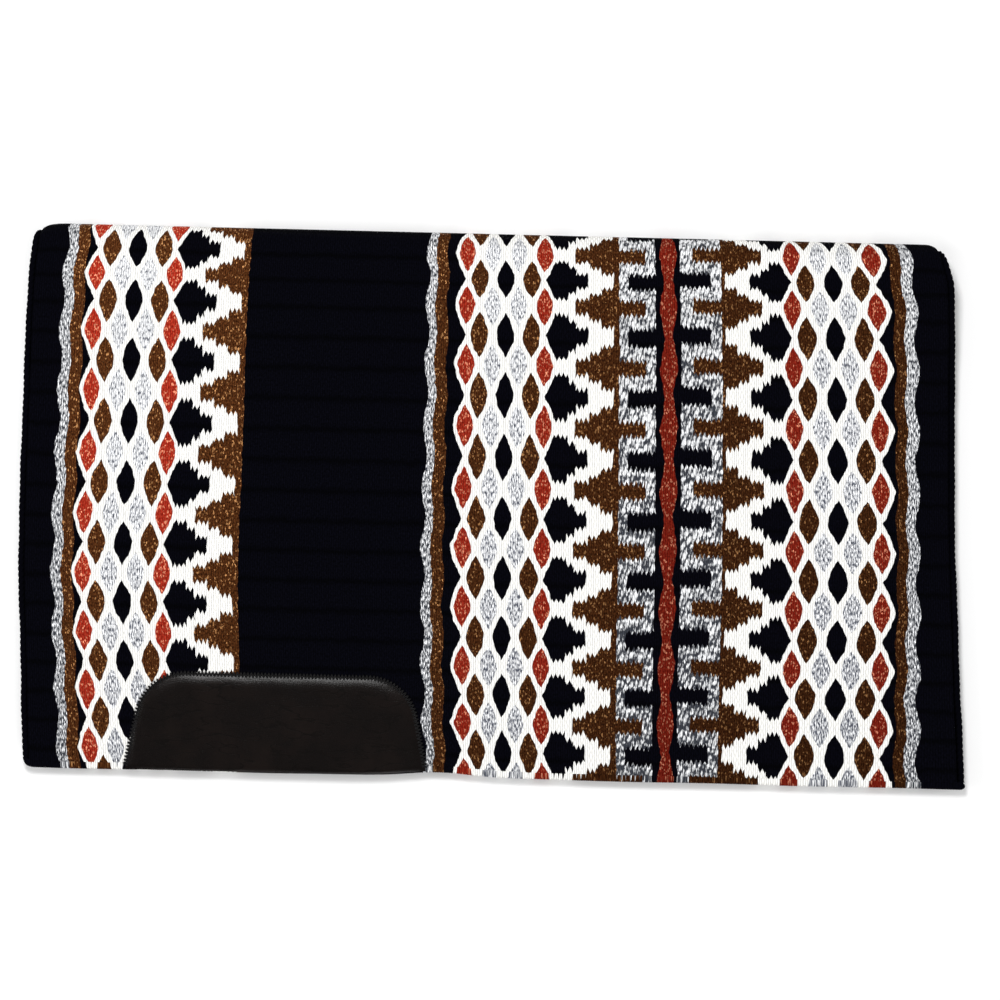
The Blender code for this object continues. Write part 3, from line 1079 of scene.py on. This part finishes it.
def leatherPiece(side):
    # rings from the outline in to the middle of its foot
    rimShares = 1 - np.array([0, 0.004, 0.012, 0.025, 0.045, 0.07, 0.1])
    shares = np.concatenate([rimShares, np.linspace(0.86, 0, 26)])
    outline = patchOutline(patch["inset"], patch["reach"])
    foot = np.linspace(1, -1, len(outline))[:, None] * (40 * mm, 0) - (0, patch["reach"])
    rings = foot[None] + shares[:, None, None] * (outline - foot)[None]
    x = patch["middle"] + rings[..., 0]
    up = rings[..., 1]
    inset = patchInset(x, up) - patch["inset"]
    swell = 1 - (1 - np.clip(inset / patch["swellRun"], 0, 1)) ** 2
    skive = np.clip(inset / patch["skiveRun"], 0, 1)
    slow = np.sin(x * 31 + 1) * np.sin(up * 60 + 0.5)
    # both faces as depths in mm inside the cloth's outer face, less than nothing where they stand out
    if side == "near":
        crease = np.sin(x * 160 + up * 90) * np.exp(-inset / (14 * mm)) * np.clip(inset / (3 * mm), 0, 1)
        pull = np.sin(x * 2 * np.pi / patch["dimple"]) * np.exp(-inset / (4 * mm)) * (inset > 0.5 * mm)
        top = 0.5 - 0.4 * skive - 2.0 * swell - 0.12 * slow - 0.16 * crease - 0.125 * pull
        bottom = 1.3
    else:
        top = 1.1 - 0.25 * skive - 0.75 * swell + 0.015 * slow
        bottom = 1.75
    past = np.clip(-up / cordRadius - 1, 0, 0.96)  # it bends down round the hem cord
    bend = 3.6 * (1 - np.sqrt(1 - past**2))
    s = runLength[side] - up
    outer = placeOn(side, x, s, (top + bend) * mm, False)
    inner = placeOn(side, x, s, (bottom + bend * 0.7) * mm, False)
    points, faces = closedSheet(outer, inner)
    return buildPiece(side + "WearLeather", points, faces, materials["leather"], 55)


# build, and tie the hem, leather and stitching to their flap's body

cordNodes = cordTree()
stitchNodes = stitchTree()
bites = {
    "near": threadBite("nearBite", stitching["bite"], stitching["radius"], 0.55 * mm, 0.5 * mm, False),
    "far": threadBite("farBite", stitching["bite"], stitching["radius"], 0.1 * mm, 0.1 * mm, False),
    "bobbin": threadBite(
        "bobbinBite", stitching["bobbinBite"], stitching["bobbinRadius"], 0.1 * mm, 0.3 * mm, True
    ),
}
bendReach = 34 * mm  # a length beyond the hinge line, for the bends below; neither is used further on
bends = {
    "near": ("spine", "near_flap", (0, hingeY, foldMiddle), (0, hingeY - bendReach, nearHingeZ)),
    "far": ("far_flap", "spine", (0, hingeY - bendReach, farHingeZ), (0, hingeY, foldMiddle)),
}
for side in ("near", "far"):
    body = side + "_flap"
    weaving = weavingPiece(side)
    hem = hemPiece(side)
    cords = [edgeCordPiece(side, end, cordNodes) for end in ("Front", "Rear")]
    leather = leatherPiece(side)
    zigzag = stitchPiece(side, stitchNodes, bites[side])
    bobbin = bobbinPiece(side, stitchNodes, bites["bobbin"])
    for piece in [weaving] + cords:
        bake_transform(piece)
    for piece in (hem, leather, zigzag, bobbin):
        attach(piece, body)
    overSpine = ["spine"] if side == "near" else []  # the near pieces run over the spine as well
    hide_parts(side + "_flap_cloth", *[part + "_cloth" for part in overSpine])
    for piece, end in zip(cords, ("front", "rear")):
        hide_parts(*[f"{part}_{end}_edge_cord" for part in [side] + overSpine])
    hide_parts(side + "_hem_cord")
    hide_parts(side + "_wear_leather")
    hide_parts(side + "_leather_edge_stitching")
    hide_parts(side + "_bobbin_thread")
    print(side, "flap built")


# stage, light and camera

studio = {
    "scale": 0.919 * mm,  # a thousandth of the view's width, at the pad's height
    "height": 2.9,  # the camera's, over the floor
    "centre": (0.0108, 0.0062),
    "roll": 1.41,
}


def buildStage():
    bpy.ops.mesh.primitive_plane_add(size=12, location=(0, 0, -0.3 * mm))
    floor = bpy.context.object
    floor.name = "floor"
    material, shader, start = newMaterial("paleFloor")
    plug(start, shader, Base_Color=(0.9, 0.9, 0.9, 1), Roughness=0.9, Specular_IOR_Level=0.1)
    floor.data.materials.append(material)
    world = bpy.data.worlds.new("studio")
    world.use_nodes = True
    sky = world.node_tree.nodes["Background"]
    sky.inputs[0].default_value = (1, 1, 1, 1)
    sky.inputs[1].default_value = 0.3
    bpy.context.scene.world = world
    bpy.context.scene.view_settings.view_transform = "Standard"


def softLight(name, place, size, power):
    # a round lamp aimed at the middle of the floor
    data = bpy.data.lights.new(name, "AREA")
    data.shape = "DISK"
    data.size = size
    data.energy = power
    lamp = linked(name, data)
    lamp.location = place
    lamp.rotation_euler = (-Vector(place)).to_track_quat("-Z", "Y").to_euler()


def buildCamera():
    data = bpy.data.cameras.new("overhead")
    wide = 1000 * studio["scale"]
    data.sensor_width = 36
    data.lens = 36 * (studio["height"] - restZ) / wide
    data.clip_end = 20
    camera = linked("overhead", data)
    camera.location = (*studio["centre"], studio["height"])
    camera.rotation_euler = (0, 0, math.radians(studio["roll"]))
    bpy.context.scene.camera = camera


buildStage()
softLight("key", (-0.3, 0.95, 2.25), 0.7, 38)
softLight("frontSide", (-2.4, -0.1, 1.5), 1.4, 26)
softLight("rearSide", (2.4, -0.1, 1.5), 1.4, 22)
softLight("foot", (0.2, -2.4, 1.6), 1.4, 22)
buildCamera()
print("stage ready")
